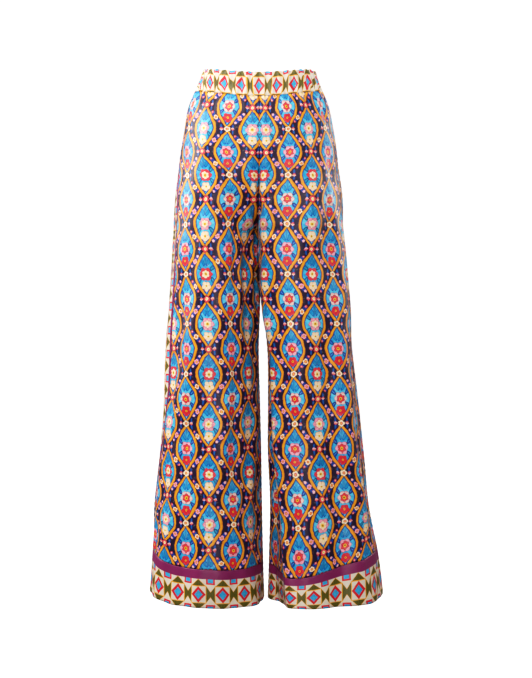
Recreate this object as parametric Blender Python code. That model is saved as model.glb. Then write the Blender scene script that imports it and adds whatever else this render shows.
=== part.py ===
"""Palazzo trousers, hollow and filled out as on a wearer, held at the waist.

Units are metres, +Z is up, the front faces -Y and the wearer's left is +X.
The origin is the middle of the waist, half way up the waistband.
Run with: blender --background --python part.py

Every piece is a wall cut from one surface. A point of that surface has a
side (-1 the wearer's right, +1 the left), a level (its height before the
waist is tipped) and a count: gathers numbered round half the garment, from
the centre front or the inseam (0), past the outseam, to the centre back or
the inseam again (GATHERS).
"""

import bpy
import numpy as np

# ---- Cut of the garment
CLOTH = 0.0012
BAND_CLOTH = 0.0022
HEM_CLOTH = 0.0018
SEAM_GAP = 0.0003
BAND_HEIGHT = 0.047
HEM_LEVEL = -1.047
HEM_BAND = 0.078
CROTCH_LEVEL = -0.304
SIDE_STRIPE = 0.074
STRIPE_EASE = 0.3

BAND_TOP = BAND_HEIGHT / 2
BAND_FOOT = -BAND_HEIGHT / 2
HEM_BAND_TOP = HEM_LEVEL + HEM_BAND

# ---- Gathers: counts at which the pieces of half the garment meet
GATHERS = 24
STRIPE_FRONT = 10
OUTSEAM = 12
STRIPE_BACK = 14
GATHER_DEPTH = 0.0022
GATHER_FADE = 0.085

# ---- Slopes: the waist is tipped down in front, and the hem is square to a leg that leans out
FRONT_DIP = 0.019
TIP_FADE = 0.26
HEM_TILT = 0.055
TILT_FADE = 0.40

# ---- Fork: the height over which the two legs become one body
FORK_HEIGHT = 0.235
FORK_CURVE = 3.0
FORK_ROUNDNESS = 0.75
FORK_REACH = 0.45
BODY_SQUARENESS = 2.3

# One row for each section of the body. right and left are the reach of its
# two sides from the middle, front and back its depths.
BODY_COLUMNS = ("level", "right", "left", "front", "back")
BODY_SECTIONS = (
    (0.0235, 0.1145, 0.1145, 0.090, 0.088),
    (0.0000, 0.1195, 0.1195, 0.093, 0.091),
    (-0.0235, 0.1285, 0.1285, 0.098, 0.097),
    (-0.0580, 0.1420, 0.1420, 0.107, 0.109),
    (-0.0990, 0.1502, 0.1502, 0.112, 0.118),
    (-0.1390, 0.1563, 0.1563, 0.115, 0.124),
    (-0.1800, 0.1604, 0.1604, 0.117, 0.128),
    (-0.2410, 0.1685, 0.1685, 0.116, 0.129),
    (-0.3040, 0.1720, 0.1720, 0.114, 0.126),
)

# One row for each section of the legs, from the hip where their roundness
# starts to the hem. sway is the shift of both to the wearer's left, gap half
# the space between them, right and left the reach of their outsides.
LEG_COLUMNS = ("level", "sway", "gap", "right", "left", "front", "back")
LEG_SECTIONS = (
    (-0.0700, 0.000, 0.0000, 0.1440, 0.1440, 0.107, 0.118),
    (-0.1800, 0.000, 0.0000, 0.1604, 0.1604, 0.109, 0.121),
    (-0.3040, 0.000, 0.0003, 0.1720, 0.1720, 0.108, 0.119),
    (-0.3700, 0.001, 0.0010, 0.1785, 0.1755, 0.107, 0.117),
    (-0.4450, 0.004, 0.0018, 0.1870, 0.1790, 0.106, 0.115),
    (-0.5450, 0.008, 0.0085, 0.1970, 0.1830, 0.107, 0.113),
    (-0.6470, 0.010, 0.0080, 0.2050, 0.1910, 0.108, 0.112),
    (-0.7480, 0.011, 0.0065, 0.2100, 0.2010, 0.109, 0.112),
    (-0.8500, 0.014, 0.0080, 0.2230, 0.2100, 0.111, 0.113),
    (-0.9510, 0.014, 0.0060, 0.2290, 0.2225, 0.113, 0.114),
    (-1.0470, 0.014, 0.0035, 0.2360, 0.2360, 0.115, 0.116),
)

# How far each side stripe's middle lies behind the outermost point.
STRIPE_COLUMNS = ("level", "right", "left")
STRIPE_SHIFTS = (
    (0.0235, 0.028, 0.032),
    (-0.0235, 0.034, 0.036),
    (-0.1400, 0.024, 0.038),
    (-0.2500, -0.012, 0.040),
    (-0.3500, -0.020, 0.041),
    (-0.4500, -0.020, 0.042),
    (-0.5500, -0.014, 0.043),
    (-0.6450, -0.012, 0.044),
    (-0.7500, 0.010, 0.046),
    (-0.8800, 0.034, 0.048),
    (-1.0470, 0.040, 0.050),
)

# One row for each fold. It runs from one level to the other, and its place at
# each end is a share of the way round the leg. inner and outer are its widths
# to either side of its crest, and depth is outward, or inward if negative.
FOLD_COLUMNS = ("side", "top", "foot", "from_turn", "to_turn", "inner", "outer", "depth")
FOLDS = (
    (-1, -0.230, -1.100, 0.215, 0.195, 0.026, 0.046, 0.008),
    (-1, -0.200, -0.980, 0.140, 0.130, 0.044, 0.024, -0.013),
    (-1, -0.330, -0.740, 0.345, 0.425, 0.022, 0.026, -0.008),
    (-1, -0.600, -1.180, 0.330, 0.315, 0.040, 0.036, -0.006),
    (-1, -0.250, -1.180, 0.640, 0.655, 0.036, 0.036, -0.008),
    (-1, -0.300, -1.180, 0.760, 0.745, 0.042, 0.042, 0.006),
    (-1, -0.270, -1.180, 0.875, 0.860, 0.032, 0.034, -0.008),
    (1, -0.150, -0.560, 0.035, 0.120, 0.018, 0.034, 0.009),
    (1, -0.380, -1.180, 0.106, 0.172, 0.020, 0.040, 0.013),
    (1, -0.400, -1.180, 0.045, 0.080, 0.026, 0.028, -0.008),
    (1, -0.330, -1.180, 0.340, 0.350, 0.044, 0.044, 0.005),
    (1, -0.260, -1.180, 0.245, 0.265, 0.030, 0.030, -0.007),
    (1, -0.450, -1.000, 0.430, 0.440, 0.036, 0.036, -0.005),
    (1, -0.280, -1.180, 0.650, 0.640, 0.036, 0.038, -0.008),
    (1, -0.260, -1.180, 0.755, 0.770, 0.040, 0.042, 0.007),
    (1, -0.300, -1.180, 0.880, 0.885, 0.032, 0.032, -0.007),
)
FOLD_FADE = 0.13
SEAM_FADE = 0.075

# ---- Rows of each piece, top to bottom
GATHERED_LEVELS = (BAND_FOOT, -0.042, -0.070, -0.105)
PLAIN_LEVELS = (
    -0.105, -0.150, -0.195, -0.235, -0.265, -0.286, -0.298, CROTCH_LEVEL, -0.322,
    -0.352, -0.392, -0.440, -0.495, -0.555, -0.620, -0.690, -0.765, -0.840,
    -0.910, HEM_BAND_TOP,
)  # fmt: skip
BAND_LEVELS = (BAND_TOP, 0.0, BAND_FOOT)
HEM_LEVELS = (HEM_BAND_TOP, (HEM_BAND_TOP + HEM_LEVEL) / 2, HEM_LEVEL)
FINE_STEP = 0.25
PLAIN_STEP = 0.5
OUTLINE_POINTS = 361

# ---- Colours and finishes: name, red, green, blue, roughness
FINISHES = {
    "printed_satin": (0.13, 0.34, 0.52, 0.42),
    "border_print": (0.78, 0.66, 0.44, 0.50),
}


def clear_scene():
    for item in list(bpy.data.objects):
        bpy.data.objects.remove(item, do_unlink=True)


def column(table, names, name):
    """One named column of a table, as an array."""
    return np.array([row[names.index(name)] for row in table], float)


def read_smooth(at, levels, values):
    """A smooth curve through the values, which are in falling order of level."""
    x, y = -levels, values
    slopes = np.gradient(y, x)
    at = np.clip(-np.asarray(at, float), x[0], x[-1])
    i = np.clip(np.searchsorted(x, at, side="right") - 1, 0, len(x) - 2)
    width = x[i + 1] - x[i]
    t = (at - x[i]) / width
    start = (1 + 2 * t) * (1 - t) ** 2 * y[i] + t * (1 - t) ** 2 * width * slopes[i]
    end = t * t * (3 - 2 * t) * y[i + 1] + t * t * (t - 1) * width * slopes[i + 1]
    return start + end


def body(level, name):
    """A size of the body from its table of sections, at any level."""
    levels = column(BODY_SECTIONS, BODY_COLUMNS, "level")
    return read_smooth(level, levels, column(BODY_SECTIONS, BODY_COLUMNS, name))


def leg(level, name):
    """A size of the legs from their table of sections, at any level."""
    levels = column(LEG_SECTIONS, LEG_COLUMNS, "level")
    return read_smooth(level, levels, column(LEG_SECTIONS, LEG_COLUMNS, name))


def ramp(x):
    """0 below 0, 1 above 1, and a smooth rise between."""
    t = np.clip(x, 0, 1)
    return t * t * (3 - 2 * t)


def union_of_legs(level, share):
    """0 where the legs are apart, 1 where they are one body: the fork's curve at the
    middle (share 0), and a slower change towards the outside (share 1)."""
    height = np.clip((level - CROTCH_LEVEL) / FORK_HEIGHT, 0, 1)
    at_middle = (1 - (1 - height) ** FORK_CURVE) ** FORK_ROUNDNESS
    return ramp(height) + (at_middle - ramp(height)) * (1 - ramp(share / FORK_REACH))


def outline(side, levels):
    """Sections of half the garment without folds, one row of points for each level.

    An angle runs from the centre front or the inseam, over the front and the
    outside, to the back. The reach follows a circle through both seams, and
    the depth goes from a circle's to the body's flatter curve as the legs join.
    """
    name = "right" if side < 0 else "left"
    level = levels[:, None]
    angle = np.linspace(0, 2 * np.pi, OUTLINE_POINTS)[None, :]
    ahead = angle < np.pi
    outside = np.where(level > CROTCH_LEVEL, body(level, name), leg(level, name))
    gap = leg(level, "gap") + SEAM_GAP / 2
    reach = (outside + gap) / 2 - (outside - gap) / 2 * np.cos(angle)
    leg_depth = np.where(ahead, -leg(level, "front"), leg(level, "back")) * np.abs(np.sin(angle))
    body_depth = np.where(ahead, -body(level, "front"), body(level, "back"))
    share = np.clip((reach - gap) / (outside - gap), 0, 1)
    joined = union_of_legs(level, share)
    body_depth = body_depth * (1 - share**BODY_SQUARENESS) ** (1 / BODY_SQUARENESS)
    return reach, (1 - joined) * leg_depth + joined * body_depth


def at_levels(level, rows_of):
    """Calls rows_of once on the distinct levels, and gives each point its own row's number."""
    levels, rows = np.unique(level, return_inverse=True)
    return rows_of(levels), rows.reshape(np.shape(level))


def girth(side, level):
    """Length round half the garment, or round one leg below the fork."""
    (reach, depth), rows = at_levels(level, lambda levels: outline(side, levels))
    length = np.hypot(np.diff(reach, axis=1), np.diff(depth, axis=1)).sum(axis=1)
    return length[rows]


def on_outline(side, turn, level):
    """Reach, depth and outward direction at a share of the way round, all arrays of one shape."""
    (reach, depth), rows = at_levels(level, lambda levels: outline(side, levels))
    found = np.zeros((4,) + np.shape(turn))
    for row in range(len(reach)):
        x, y = reach[row], depth[row]
        steps = np.hypot(np.diff(x), np.diff(y))
        share = np.concatenate([[0], np.cumsum(steps)]) / steps.sum()
        along_x, along_y = np.gradient(x, share), np.gradient(y, share)
        size = np.hypot(along_x, along_y)
        here = rows == row
        for i, values in enumerate((x, y, along_y / size, -along_x / size)):
            found[i][here] = np.interp(turn[here], share, values)
    return found


def seam_turns(side, level):
    """Turns at which the side stripe's front and back edges lie."""
    levels = column(STRIPE_SHIFTS, STRIPE_COLUMNS, "level")
    shifts = column(STRIPE_SHIFTS, STRIPE_COLUMNS, "right" if side < 0 else "left")
    around = girth(side, level)
    drawn_in = 1 - STRIPE_EASE * np.clip(1 - around / girth(side, np.full(1, -0.2)), 0, 1)
    middle = 0.5 + read_smooth(level, levels, shifts) / around
    half = SIDE_STRIPE / 2 * drawn_in / around
    return middle - half, middle + half


def turn_of(side, count, level):
    """The share of the way round at which a gather's count lies."""
    front, back = seam_turns(side, level)
    ahead = front * count / STRIPE_FRONT
    beside = front + (back - front) * (count - STRIPE_FRONT) / (STRIPE_BACK - STRIPE_FRONT)
    behind = back + (1 - back) * (count - STRIPE_BACK) / (GATHERS - STRIPE_BACK)
    turn = np.where(count < STRIPE_FRONT, ahead, np.where(count > STRIPE_BACK, behind, beside))
    return np.clip(turn, 0, 1)


def gather_depth(side, count, level):
    """How far a gather stands out: deepest at the band's foot, less on the band, gone below."""
    uneven = 1 + 0.30 * np.sin(1.7 * count + side) + 0.20 * np.sin(0.9 * count - 2 * side)
    below = 1 - ramp((BAND_FOOT - level) / GATHER_FADE)
    on_band = 1 - 0.35 * ramp((level - BAND_FOOT) / (BAND_HEIGHT / 2))
    return GATHER_DEPTH * uneven * below * on_band * (1 - np.cos(2 * np.pi * count)) / 2


def fold_depth(side, turn, level):
    """The sum of the folds of one leg: each a soft crest or trough with its own two widths."""
    around = girth(side, level)
    total = np.zeros(np.shape(turn))
    for row in FOLDS:
        fold = dict(zip(FOLD_COLUMNS, row))
        if fold["side"] != side:
            continue
        along = np.clip((fold["top"] - level) / (fold["top"] - fold["foot"]), 0, 1)
        crest = fold["from_turn"] + (fold["to_turn"] - fold["from_turn"]) * along
        away = (turn - crest) * around
        width = np.where(away < 0, fold["inner"], fold["outer"])
        fade = ramp((fold["top"] - level) / FOLD_FADE) * ramp((level - fold["foot"]) / FOLD_FADE)
        total += fold["depth"] * fade * np.exp(-((away / width) ** 2))
    return total * ramp(turn / SEAM_FADE) * ramp((1 - turn) / SEAM_FADE)


def slope_of_edges(side, turn, reach, level):
    """Lift of a point by the waist's tip towards the front and the hem's tilt to the outside."""
    tip = FRONT_DIP * (1 - ramp(-level / TIP_FADE)) * np.cos(np.pi * np.clip(turn, 0, 0.5)) ** 2
    middle = (leg(level, "right" if side < 0 else "left") + leg(level, "gap")) / 2
    low = ramp((HEM_LEVEL + TILT_FADE - level) / TILT_FADE)
    return HEM_TILT * low * (reach - middle) - tip


def surface(side, count, level):
    """Points of the garment's outside for arrays of counts and levels of one shape."""
    turn = turn_of(side, count, level)
    reach, depth, out_reach, out_depth = on_outline(side, turn, level)
    out = fold_depth(side, turn, level) + gather_depth(side, count, level)
    reach = np.maximum(reach + out * out_reach, SEAM_GAP / 2)
    depth = depth + out * out_depth
    height = level + slope_of_edges(side, turn, reach, level)
    return np.stack([side * reach + leg(level, "sway"), depth, height], axis=-1)


def outward(side, count, level):
    """Unit normals of the surface, by differences."""
    count_step, level_step = 0.08, 1e-3
    low = np.clip(count - count_step, 0, GATHERS)
    high = np.clip(count + count_step, 0, GATHERS)
    across = surface(side, high, level) - surface(side, low, level)
    down = surface(side, count, level - level_step) - surface(side, count, level + level_step)
    normal = side * np.cross(down, across)
    return normal / np.linalg.norm(normal, axis=-1, keepdims=True)


def pull_in(points):
    """Moves a panel's border points half a seam gap towards its inside, row by row."""
    for row in points:
        for edge, beside in ((0, 1), (-1, -2)):
            inward = row[beside] - row[edge]
            row[edge] += SEAM_GAP / 2 * inward / np.linalg.norm(inward)


def wall_rows(side, first, last, levels, step, thickness):
    """Rows of outer and inner points of a piece, from one count to another."""
    counts = np.arange(first, last + step / 2, step)
    rows = np.array(levels, float)
    rows[0] -= SEAM_GAP / 2 * (levels[0] != BAND_TOP)
    rows[-1] += SEAM_GAP / 2 * (levels[-1] != HEM_LEVEL)
    count, level = np.meshgrid(counts, rows)
    outer = surface(side, count, level)
    normal = outward(side, count, level)
    pull_in(outer)
    return list(zip(outer, outer - thickness * normal))


def strip(upper, lower):
    """Faces between two rows of point numbers, of equal length or two to one."""
    faces = []
    if len(upper) == len(lower):
        for i in range(len(upper) - 1):
            faces.append((upper[i], lower[i], lower[i + 1], upper[i + 1]))
        return faces
    for i in range(len(lower) - 1):
        left, middle, right = upper[2 * i : 2 * i + 3]
        faces.append((left, lower[i], middle))
        faces.append((middle, lower[i], lower[i + 1]))
        faces.append((middle, lower[i + 1], right))
    return faces


def add_wall(name, rows, finish, flip):
    """Makes one closed wall from rows of (outer, inner) points, top to bottom."""
    points, outer, inner = [], [], []
    for outer_row, inner_row in rows:
        for row, numbers in ((outer_row, outer), (inner_row, inner)):
            numbers.append(list(range(len(points), len(points) + len(row))))
            points.extend(tuple(p) for p in row)
    faces = []
    for upper, lower in zip(outer, outer[1:]):
        faces += strip(upper, lower)
    for upper, lower in zip(inner, inner[1:]):
        faces += [face[::-1] for face in strip(upper, lower)]
    for upper, lower, upper_in, lower_in in zip(outer, outer[1:], inner, inner[1:]):
        faces.append((upper[0], upper_in[0], lower_in[0], lower[0]))
        faces.append((upper[-1], lower[-1], lower_in[-1], upper_in[-1]))
    for out, within, top in ((outer[0], inner[0], True), (outer[-1], inner[-1], False)):
        for i in range(len(out) - 1):
            face = (out[i], out[i + 1], within[i + 1], within[i])
            faces.append(face if top else face[::-1])
    if flip:
        faces = [face[::-1] for face in faces]
    mesh = bpy.data.meshes.new(name)
    mesh.from_pydata(points, [], faces)
    mesh.shade_smooth()
    mesh.set_sharp_from_angle(angle=np.radians(50))
    mesh.materials.append(finish)
    piece = bpy.data.objects.new(name, mesh)
    bpy.context.scene.collection.objects.link(piece)
    return piece


def make_finish(name):
    red, green, blue, roughness = FINISHES[name]
    material = bpy.data.materials.new(name)
    material.use_nodes = True
    shader = material.node_tree.nodes["Principled BSDF"]
    shader.inputs["Base Color"].default_value = (red, green, blue, 1)
    shader.inputs["Roughness"].default_value = roughness
    shader.inputs["Metallic"].default_value = 0
    return material


def add_piece(name, side, first, last, levels, step, thickness, finish):
    """A piece on one side of the garment, in one density of rows."""
    rows = wall_rows(side, first, last, levels, step, thickness)
    return add_wall(name, rows, finish, flip=side < 0)


def add_panel(name, side, first, last, finish):
    """A leg panel or side stripe: finely stepped in the gathers and plainly below them."""
    fine = wall_rows(side, first, last, GATHERED_LEVELS, FINE_STEP, CLOTH)
    plain = wall_rows(side, first, last, PLAIN_LEVELS, PLAIN_STEP, CLOTH)
    return add_wall(name, fine[:-1] + plain, finish, flip=side < 0)


def add_band(name, first, last, finish):
    """Half of the waistband, from one outseam across the middle to the other."""
    right = wall_rows(-1, first, last, BAND_LEVELS, FINE_STEP, BAND_CLOTH)
    left = wall_rows(1, first, last, BAND_LEVELS, FINE_STEP, BAND_CLOTH)
    rows = []
    for (outer_r, inner_r), (outer_l, inner_l) in zip(right, left):
        if first == 0:
            pair = [(outer_r[:0:-1], outer_l), (inner_r[:0:-1], inner_l)]
        else:
            pair = [(outer_l, outer_r[-2::-1]), (inner_l, inner_r[-2::-1])]
        outer, inner = (np.concatenate(halves) for halves in pair)
        middle = len(outer_l) - 1
        outer[middle, 0] = inner[middle, 0] = 0
        rows.append((outer, inner))
    return add_wall(name, rows, finish, flip=False)


def main():
    clear_scene()
    printed = make_finish("printed_satin")
    border = make_finish("border_print")
    add_band("waistband_front", 0, OUTSEAM, border)
    add_band("waistband_back", OUTSEAM, GATHERS, border)
    for side, word in ((-1, "right"), (1, "left")):
        add_panel(f"front_{word}", side, 0, STRIPE_FRONT, printed)
        add_panel(f"side_stripe_{word}", side, STRIPE_FRONT, STRIPE_BACK, border)
        add_panel(f"back_{word}", side, STRIPE_BACK, GATHERS, printed)
        hem = (HEM_LEVELS, PLAIN_STEP, HEM_CLOTH, border)
        add_piece(f"hem_band_front_{word}", side, 0, OUTSEAM, *hem)
        add_piece(f"hem_band_back_{word}", side, OUTSEAM, GATHERS, *hem)


main()
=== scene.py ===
"""The looks of wide-legged pull-on trousers in printed satin, filled out as on a wearer.

Metres, +Z up, the front towards -Y, the wearer's left at +X, the origin in the
middle of the waist. The cloth is worked out on grids. A point of a grid has a
side (-1 the wearer's right, +1 the left), a level (its height before the waist
is tipped and the hem tilted) and a count: gathers numbered round half the
garment, from the centre front or the inseam (0), past the outseam, to the
centre back or the inseam again (GATHERS). A turn is a share of the same way.
"""

import bpy
import numpy as np
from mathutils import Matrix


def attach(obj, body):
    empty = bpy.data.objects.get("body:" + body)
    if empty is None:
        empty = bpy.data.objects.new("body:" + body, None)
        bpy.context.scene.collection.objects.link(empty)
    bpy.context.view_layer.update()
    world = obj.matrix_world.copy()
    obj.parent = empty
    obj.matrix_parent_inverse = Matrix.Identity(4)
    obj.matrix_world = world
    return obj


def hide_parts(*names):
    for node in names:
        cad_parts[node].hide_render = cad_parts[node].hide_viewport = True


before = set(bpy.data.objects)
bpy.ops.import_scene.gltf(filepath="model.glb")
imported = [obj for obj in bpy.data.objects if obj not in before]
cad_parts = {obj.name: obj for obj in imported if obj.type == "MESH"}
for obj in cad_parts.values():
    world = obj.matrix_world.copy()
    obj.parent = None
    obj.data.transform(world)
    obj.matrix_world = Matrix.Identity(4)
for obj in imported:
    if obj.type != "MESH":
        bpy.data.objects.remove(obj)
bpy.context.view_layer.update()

# ---- Cut of the garment, as in the solids
CLOTH = 0.0010
BAND_CLOTH = 0.0020
HEM_CLOTH = 0.0016
ALLOWANCE = (0.0007, 0.0024, 0.0055)
BAND_HEIGHT = 0.047
HEM_LEVEL = -1.047
HEM_BAND = 0.078
CROTCH_LEVEL = -0.304
SIDE_STRIPE = 0.074
STRIPE_EASE = 0.3

BAND_TOP = BAND_HEIGHT / 2
BAND_FOOT = -BAND_HEIGHT / 2
HEM_BAND_TOP = HEM_LEVEL + HEM_BAND

# ---- Gathers: counts at which the pieces of half the garment meet
GATHERS = 24
STRIPE_FRONT = 10
OUTSEAM = 12
STRIPE_BACK = 14
GATHER_DEPTH = 0.0029
GATHER_FADE = 0.085
BAND_GATHER_LOSS = 0.35
FINE_GATHER_SHARE = 0.22
FINE_GATHER_REACH = 0.030
FULLNESS = 1.3

# ---- Slopes of the waist and the hem
FRONT_DIP = 0.019
TIP_FADE = 0.26
HEM_TILT = 0.055
TILT_FADE = 0.40

# ---- Fork: the height over which the two legs become one body
FORK_HEIGHT = 0.235
FORK_CURVE = 3.0
FORK_ROUNDNESS = 0.75
FORK_REACH = 0.45
BODY_SQUARENESS = 2.3

BODY_COLUMNS = ("level", "right", "left", "front", "back")
BODY_SECTIONS = (
    (0.0235, 0.1145, 0.1145, 0.090, 0.088),
    (0.0000, 0.1195, 0.1195, 0.093, 0.091),
    (-0.0235, 0.1285, 0.1285, 0.098, 0.097),
    (-0.0580, 0.1420, 0.1420, 0.107, 0.109),
    (-0.0990, 0.1502, 0.1502, 0.112, 0.118),
    (-0.1390, 0.1563, 0.1563, 0.115, 0.124),
    (-0.1800, 0.1604, 0.1604, 0.117, 0.128),
    (-0.2410, 0.1685, 0.1685, 0.116, 0.129),
    (-0.3040, 0.1720, 0.1720, 0.114, 0.126),
)

LEG_COLUMNS = ("level", "sway", "gap", "right", "left", "front", "back")
LEG_SECTIONS = (
    (-0.0700, 0.000, 0.0000, 0.1440, 0.1440, 0.107, 0.118),
    (-0.1800, 0.000, 0.0000, 0.1604, 0.1604, 0.109, 0.121),
    (-0.3040, 0.000, 0.0003, 0.1720, 0.1720, 0.108, 0.119),
    (-0.3700, 0.001, 0.0010, 0.1785, 0.1755, 0.107, 0.117),
    (-0.4450, 0.004, 0.0018, 0.1870, 0.1790, 0.106, 0.115),
    (-0.5450, 0.008, 0.0085, 0.1970, 0.1830, 0.107, 0.113),
    (-0.6470, 0.010, 0.0080, 0.2050, 0.1910, 0.108, 0.112),
    (-0.7480, 0.011, 0.0065, 0.2100, 0.2010, 0.109, 0.112),
    (-0.8500, 0.014, 0.0080, 0.2230, 0.2100, 0.111, 0.113),
    (-0.9510, 0.014, 0.0060, 0.2290, 0.2225, 0.113, 0.114),
    (-1.0470, 0.014, 0.0035, 0.2360, 0.2360, 0.115, 0.116),
)

STRIPE_COLUMNS = ("level", "right", "left")
STRIPE_SHIFTS = (
    (0.0235, 0.028, 0.032),
    (-0.0235, 0.034, 0.036),
    (-0.1400, 0.024, 0.038),
    (-0.2500, -0.012, 0.040),
    (-0.3500, -0.020, 0.041),
    (-0.4500, -0.020, 0.042),
    (-0.5500, -0.014, 0.043),
    (-0.6450, -0.012, 0.044),
    (-0.7500, 0.010, 0.046),
    (-0.8800, 0.034, 0.048),
    (-1.0470, 0.040, 0.050),
)

# One row for each large fold, as in the solids: it runs from one level to the
# other, at a turn for each end, with a width to either side of its crest.
FOLD_COLUMNS = ("side", "top", "foot", "from_turn", "to_turn", "inner", "outer", "depth")
FOLDS = (
    (-1, -0.230, -1.100, 0.215, 0.195, 0.026, 0.046, 0.008),
    (-1, -0.200, -0.980, 0.140, 0.130, 0.044, 0.024, -0.013),
    (-1, -0.330, -0.740, 0.345, 0.425, 0.022, 0.026, -0.008),
    (-1, -0.600, -1.180, 0.330, 0.315, 0.040, 0.036, -0.006),
    (-1, -0.250, -1.180, 0.640, 0.655, 0.036, 0.036, -0.008),
    (-1, -0.300, -1.180, 0.760, 0.745, 0.042, 0.042, 0.006),
    (-1, -0.270, -1.180, 0.875, 0.860, 0.032, 0.034, -0.008),
    (1, -0.150, -0.560, 0.035, 0.120, 0.018, 0.034, 0.009),
    (1, -0.380, -1.180, 0.106, 0.172, 0.020, 0.040, 0.013),
    (1, -0.400, -1.180, 0.045, 0.080, 0.026, 0.028, -0.008),
    (1, -0.330, -1.180, 0.340, 0.350, 0.044, 0.044, 0.005),
    (1, -0.260, -1.180, 0.245, 0.265, 0.030, 0.030, -0.007),
    (1, -0.450, -1.000, 0.430, 0.440, 0.036, 0.036, -0.005),
    (1, -0.280, -1.180, 0.650, 0.640, 0.036, 0.038, -0.008),
    (1, -0.260, -1.180, 0.755, 0.770, 0.040, 0.042, 0.007),
    (1, -0.300, -1.180, 0.880, 0.885, 0.032, 0.032, -0.007),
)
FOLD_FADE = 0.13
# Shares of the way round over which the folds, and the creases, fade out at the centre seams.
SEAM_FADE = 0.075
CREASE_FADE = 0.02

# ---- Finer form of the cloth, which the solids leave out
# One row for each crease, from one end to the other across the cloth. All are bowed a little.
CREASE_COLUMNS = ("side", "turn_a", "level_a", "turn_b", "level_b", "width", "depth")
CREASES = (
    (1, 0.128, -0.440, 0.146, -0.930, 0.009, 0.0028),
    (1, 0.150, -0.880, 0.176, -1.160, 0.011, 0.0045),
    (1, 0.224, -0.200, 0.204, -1.250, 0.020, 0.0044),
    (1, 0.252, -0.260, 0.262, -1.250, 0.030, 0.0068),
    (1, 0.334, -0.200, 0.310, -1.250, 0.028, -0.0156),
    (1, 0.408, -0.300, 0.394, -1.250, 0.024, 0.0036),
    (1, 0.030, -0.150, 0.045, -0.300, 0.008, 0.0040),
    (1, 0.118, -0.420, 0.160, -1.090, 0.022, 0.0062),
    (-1, 0.160, -0.180, 0.152, -0.960, 0.013, 0.0062),
    (-1, 0.196, -0.180, 0.186, -0.960, 0.012, -0.0030),
    (-1, 0.118, -0.480, 0.130, -1.350, 0.030, 0.0078),
    (-1, 0.060, -0.215, 0.050, -0.450, 0.008, -0.0050),
    (-1, 0.088, -0.205, 0.078, -0.430, 0.009, 0.0036),
    (-1, 0.036, -0.200, 0.030, -0.400, 0.005, 0.0030),
    (-1, 0.020, -0.190, 0.018, -0.420, 0.004, -0.0034),
    (1, 0.018, -0.185, 0.016, -0.400, 0.004, -0.0034),
    (1, 0.062, -0.220, 0.070, -0.390, 0.008, -0.0035),
    (-1, 0.020, -0.292, 0.130, -0.372, 0.014, -0.0020),
    (-1, 0.018, -0.262, 0.140, -0.232, 0.013, -0.0018),
    (-1, 0.045, -0.330, 0.120, -0.430, 0.012, 0.0020),
    (-1, 0.300, -0.172, 0.420, -0.148, 0.016, -0.0018),
    (-1, 0.115, -0.030, 0.100, -0.160, 0.009, -0.0026),
    (-1, 0.225, -0.030, 0.215, -0.128, 0.008, -0.0022),
    (-1, 0.335, -0.030, 0.345, -0.178, 0.010, -0.0026),
    (-1, 0.170, -0.620, 0.290, -0.596, 0.020, -0.0018),
    (-1, 0.300, -0.690, 0.400, -0.730, 0.018, -0.0016),
    (-1, 0.230, -0.850, 0.330, -0.820, 0.022, -0.0014),
    (-1, 0.600, -0.140, 0.720, -0.190, 0.016, -0.0020),
    (-1, 0.930, -0.335, 0.800, -0.385, 0.012, -0.0028),
    (-1, 0.910, -0.375, 0.790, -0.440, 0.013, -0.0022),
    (-1, 0.680, -0.640, 0.800, -0.605, 0.020, -0.0020),
    (-1, 0.720, -0.030, 0.735, -0.150, 0.009, -0.0024),
    (-1, 0.880, -0.030, 0.890, -0.170, 0.010, -0.0024),
    (1, 0.015, -0.285, 0.110, -0.338, 0.009, -0.0030),
    (1, 0.020, -0.246, 0.120, -0.214, 0.010, -0.0022),
    (1, 0.200, -0.395, 0.310, -0.360, 0.018, -0.0018),
    (1, 0.090, -0.030, 0.085, -0.150, 0.008, -0.0024),
    (1, 0.190, -0.030, 0.200, -0.120, 0.008, -0.0020),
    (1, 0.380, -0.030, 0.372, -0.092, 0.006, -0.0034),
    (1, 0.290, -0.030, 0.300, -0.165, 0.010, -0.0024),
    (1, 0.330, -0.205, 0.440, -0.180, 0.015, -0.0018),
    (1, 0.230, -0.640, 0.350, -0.668, 0.020, -0.0018),
    (1, 0.170, -0.800, 0.280, -0.775, 0.020, -0.0014),
    (1, 0.610, -0.165, 0.740, -0.205, 0.016, -0.0020),
    (1, 0.935, -0.340, 0.810, -0.372, 0.012, -0.0028),
    (1, 0.905, -0.392, 0.780, -0.430, 0.013, -0.0020),
    (1, 0.700, -0.615, 0.820, -0.650, 0.020, -0.0020),
    (1, 0.740, -0.030, 0.728, -0.142, 0.009, -0.0024),
    (1, 0.860, -0.030, 0.868, -0.180, 0.010, -0.0022),
)
CREASE_BOW = 0.010
CREASE_RUN_OUT = 0.15
CREASE_END_FADE = 0.45

# The long ridge at which the left leg's front turns back into the fork: its turn, its
# height and its two widths at each level.
RIDGE_COLUMNS = ("level", "turn", "height", "inner", "outer")
RIDGE = (
    (-0.210, 0.045, 0.0000, 0.012, 0.020),
    (-0.250, 0.058, 0.0040, 0.014, 0.024),
    (-0.280, 0.092, 0.0090, 0.017, 0.028),
    (-0.310, 0.122, 0.0150, 0.018, 0.032),
    (-0.350, 0.130, 0.0165, 0.018, 0.034),
    (-0.400, 0.130, 0.0150, 0.018, 0.034),
    (-0.440, 0.131, 0.0090, 0.018, 0.032),
    (-0.500, 0.134, 0.0040, 0.018, 0.030),
    (-0.620, 0.140, 0.0000, 0.018, 0.030),
)

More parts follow.
